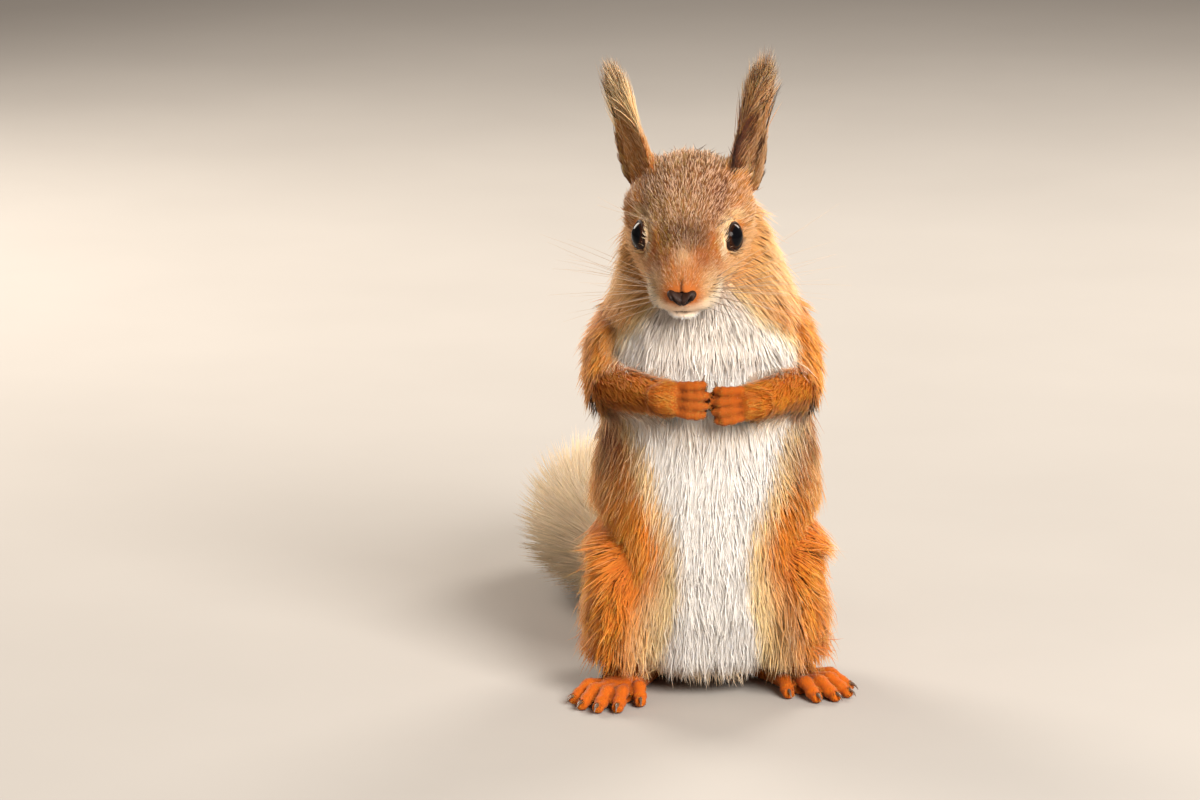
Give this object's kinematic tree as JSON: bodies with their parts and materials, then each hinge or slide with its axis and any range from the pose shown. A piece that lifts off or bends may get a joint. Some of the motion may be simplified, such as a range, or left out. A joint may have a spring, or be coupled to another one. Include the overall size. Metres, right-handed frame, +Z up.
{
  "type": "red squirrel",
  "caption": "Small furry squirrel standing upright on its hind feet, forepaws clasped on its chest, ears tufted, tail laid behind it.",
  "frame": {"origin": "on the floor, under the middle of the whole animal's box, tail included", "axes": "+Z up, -Y the way the animal faces, +X its own left side"},
  "size_m": [0.1036, 0.218, 0.1976],
  "materials": {
    "russet_fur": "soft russet fur",
    "grey_brown_fur": "short grizzled brown fur",
    "white_fur": "soft white fur",
    "orange_fur": "short bright orange fur",
    "dark_fur": "dark reddish brown fur",
    "cream_fur": "long pale tail hair",
    "nose_skin": "moist bare skin",
    "eye_dark": "wet, glossy",
    "claw_horn": "dark horn"
  },
  "bodies": {
    "root": {"head": "grey_brown_fur", "nose": "nose_skin", "eye_left": "eye_dark", "eye_right": "eye_dark", "ear_left": "dark_fur", "ear_right": "dark_fur", "ear_tuft_left": "dark_fur", "ear_tuft_right": "dark_fur", "neck": "russet_fur", "chest": "russet_fur", "belly": "white_fur", "upper_arm_left": "russet_fur", "upper_arm_right": "russet_fur", "forearm_left": "orange_fur", "forearm_right": "orange_fur", "hand_left": "orange_fur", "hand_right": "orange_fur", "thigh_left": "russet_fur", "thigh_right": "russet_fur", "foot_left": "orange_fur", "foot_right": "orange_fur", "tail_base": "russet_fur", "tail_middle": "cream_fur", "tail_tip": "cream_fur"}
  },
  "joints": []
}
